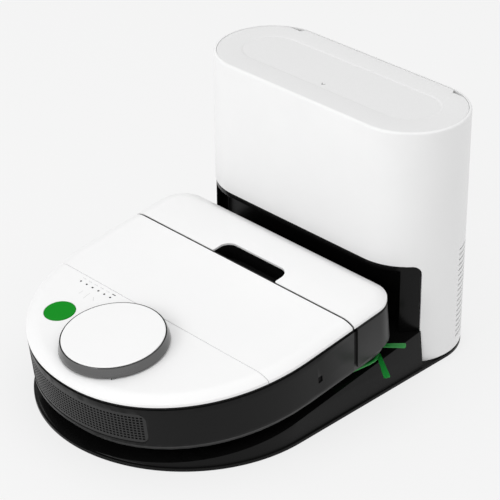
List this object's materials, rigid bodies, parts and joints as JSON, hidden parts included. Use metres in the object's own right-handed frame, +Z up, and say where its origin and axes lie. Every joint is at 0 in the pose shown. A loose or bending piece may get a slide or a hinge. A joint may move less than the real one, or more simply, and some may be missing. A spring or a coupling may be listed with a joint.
{
  "type": "robot vacuum with self-emptying dock",
  "caption": "D-shaped robot vacuum with a scanning turret, parked on the ramp of a tall self-emptying dock.",
  "frame": {"origin": "on the floor at the middle foot's face, under the middle of the dock's footprint", "axes": "+Y along the dock from the ramp's round end to the tower, +Z up, +X to the side brush's side"},
  "size_m": [0.3669, 0.4702, 0.2882],
  "materials": {
    "shell_white": "satin white moulding",
    "cover_white": "smooth white moulding with a soft gloss",
    "lid_white": "fine-grained off-white moulding",
    "dock_black": "glossy black moulding",
    "band_black": "glossy black moulding",
    "inner_charcoal": "matt charcoal moulding",
    "bumper_black": "glossy black moulding",
    "grille_black": "matt black, finely perforated",
    "turret_metal": "brushed dark grey metal",
    "button_green": "satin green moulding",
    "tuft_green": "green bristles",
    "lens_smoke": "smoked clear plastic",
    "rubber_black": "matt black rubber",
    "tyre_rubber": "ribbed black rubber",
    "contact_metal": "plated contact",
    "steel": "drawn steel",
    "bag_paper": "non-woven bag paper",
    "collar_card": "pressed card",
    "filter_media": "pleated filter media",
    "cell_blue": "shrink-wrapped pack",
    "board_green": "circuit board lacquer"
  },
  "bodies": {
    "dock": {"ramp_tray": "dock_black", "bottom_plate": "inner_charcoal", "foot_back_left": "rubber_black", "foot_back_right": "rubber_black", "foot_ramp_left": "rubber_black", "foot_ramp_right": "rubber_black", "foot_middle": "rubber_black", "tower_shell": "shell_white", "bay_liner": "dock_black", "lid_pin_left": "steel", "lid_pin_right": "steel", "bag_shelf": "inner_charcoal", "bag_collar": "collar_card", "dust_bag": "bag_paper", "dock_fan_housing": "inner_charcoal", "dock_motor": "steel", "exhaust_filter": "filter_media", "power_inlet": "inner_charcoal", "port_seal": "rubber_black", "suction_duct": "inner_charcoal"},
    "lid": {"bag_lid": "lid_white"},
    "dock_fan": {"dock_impeller": "inner_charcoal"},
    "contact_left": {"dock_contact_left": "contact_metal"},
    "contact_right": {"dock_contact_right": "contact_metal"},
    "robot": {"chassis_pan": "inner_charcoal", "side_band": "band_black", "exhaust_grille": "grille_black", "side_window": "lens_smoke", "charge_pad_left": "contact_metal", "charge_pad_right": "contact_metal", "top_cover": "cover_white", "rear_cover": "cover_white", "deck_plate": "inner_charcoal", "turret_band": "turret_metal", "turret_cap": "cover_white", "light_guide": "lens_smoke", "brush_guard": "inner_charcoal", "brush_drive": "inner_charcoal", "side_brush_motor": "inner_charcoal", "battery_pack": "cell_blue", "main_board": "board_green", "suction_fan_housing": "inner_charcoal"},
    "bumper_body": {"bumper": "bumper_black"},
    "dust_bin": {"bin_tub": "dock_black", "bin_lid": "cover_white", "bin_filter": "filter_media"},
    "button": {"power_button": "button_green"},
    "lidar": {"lidar_rotor": "lens_smoke"},
    "roller": {"main_brush": "rubber_black"},
    "side_brush": {"side_brush_tufts": "tuft_green", "side_brush_hub": "inner_charcoal"},
    "arm_left": {"wheel_arm_left": "inner_charcoal"},
    "arm_right": {"wheel_arm_right": "inner_charcoal"},
    "wheel_left": {"wheel_hub_left": "inner_charcoal", "tyre_left": "tyre_rubber"},
    "wheel_right": {"wheel_hub_right": "inner_charcoal", "tyre_right": "tyre_rubber"},
    "caster": {"caster_fork": "inner_charcoal"},
    "caster_roller": {"caster_wheel": "tyre_rubber"},
    "fan_rotor": {"suction_impeller": "inner_charcoal"}
  },
  "joints": [
    {"name": "robot_undock", "type": "slide", "parent": "dock", "child": "robot", "axis": [0, -1, 0], "range_m": [0, 0.36]},
    {"name": "lid_hinge", "type": "hinge", "parent": "dock", "child": "lid", "pos_m": [0, 0.2259, 0.2859], "axis": [-1, 0, 0], "range_deg": [0, 95]},
    {"name": "dock_fan_spin", "type": "hinge", "parent": "dock", "child": "dock_fan", "pos_m": [0.088, 0.177, 0.088], "axis": [0, 0, 1], "continuous": true},
    {"name": "contact_press_left", "type": "slide", "parent": "dock", "child": "contact_left", "axis": [0, -0.1175, 0.9931], "range_m": [-0.003, 0], "stiffness_N_per_m": 300, "springref_m": 0.001},
    {"name": "contact_press_right", "type": "slide", "parent": "dock", "child": "contact_right", "axis": [0, -0.1175, 0.9931], "range_m": [-0.003, 0], "stiffness_N_per_m": 300, "springref_m": 0.001},
    {"name": "bumper_press", "type": "slide", "parent": "robot", "child": "bumper_body", "axis": [0, -0.9931, -0.1175], "range_m": [0, 0.004], "stiffness_N_per_m": 400, "springref_m": -0.001},
    {"name": "bin_lift", "type": "slide", "parent": "robot", "child": "dust_bin", "axis": [0, -0.1175, 0.9931], "range_m": [0, 0.06]},
    {"name": "button_press", "type": "slide", "parent": "robot", "child": "button", "axis": [0, 0.1175, -0.9931], "range_m": [0, 0.0012], "stiffness_N_per_m": 800, "springref_m": -0.0005},
    {"name": "lidar_spin", "type": "hinge", "parent": "robot", "child": "lidar", "pos_m": [0, -0.16595, 0.08349], "axis": [0, -0.1175, 0.9931], "continuous": true},
    {"name": "main_brush_spin", "type": "hinge", "parent": "robot", "child": "roller", "pos_m": [0, 0.05437, 0.0572], "axis": [1, 0, 0], "continuous": true},
    {"name": "side_brush_spin", "type": "hinge", "parent": "robot", "child": "side_brush", "pos_m": [0.1478, 0.05233, 0.0489], "axis": [0, -0.1175, 0.9931], "continuous": true},
    {"name": "suction_fan_spin", "type": "hinge", "parent": "robot", "child": "fan_rotor", "pos_m": [0, -0.01312, 0.07439], "axis": [0, -0.1175, 0.9931], "continuous": true},
    {"name": "wheel_arm_left_swing", "type": "hinge", "parent": "robot", "child": "arm_left", "pos_m": [-0.1, -0.01376, 0.07129], "axis": [1, 0, 0], "range_deg": [-6, 0], "stiffness_Nm_per_rad": 1.5, "springref_deg": 14.32},
    {"name": "wheel_arm_right_swing", "type": "hinge", "parent": "robot", "child": "arm_right", "pos_m": [0.1, -0.01376, 0.07129], "axis": [1, 0, 0], "range_deg": [-6, 0], "stiffness_Nm_per_rad": 1.5, "springref_deg": 14.32},
    {"name": "wheel_left_spin", "type": "hinge", "parent": "arm_left", "child": "wheel_left", "pos_m": [-0.118, -0.05828, 0.05605], "axis": [1, 0, 0], "continuous": true},
    {"name": "wheel_right_spin", "type": "hinge", "parent": "arm_right", "child": "wheel_right", "pos_m": [0.118, -0.05828, 0.05605], "axis": [1, 0, 0], "continuous": true},
    {"name": "caster_swivel", "type": "hinge", "parent": "robot", "child": "caster", "pos_m": [0, -0.1842, 0.03098], "axis": [0, -0.1175, 0.9931], "continuous": true},
    {"name": "caster_wheel_spin", "type": "hinge", "parent": "caster", "child": "caster_roller", "pos_m": [0, -0.18783, 0.01907], "axis": [1, 0, 0], "continuous": true}
  ]
}
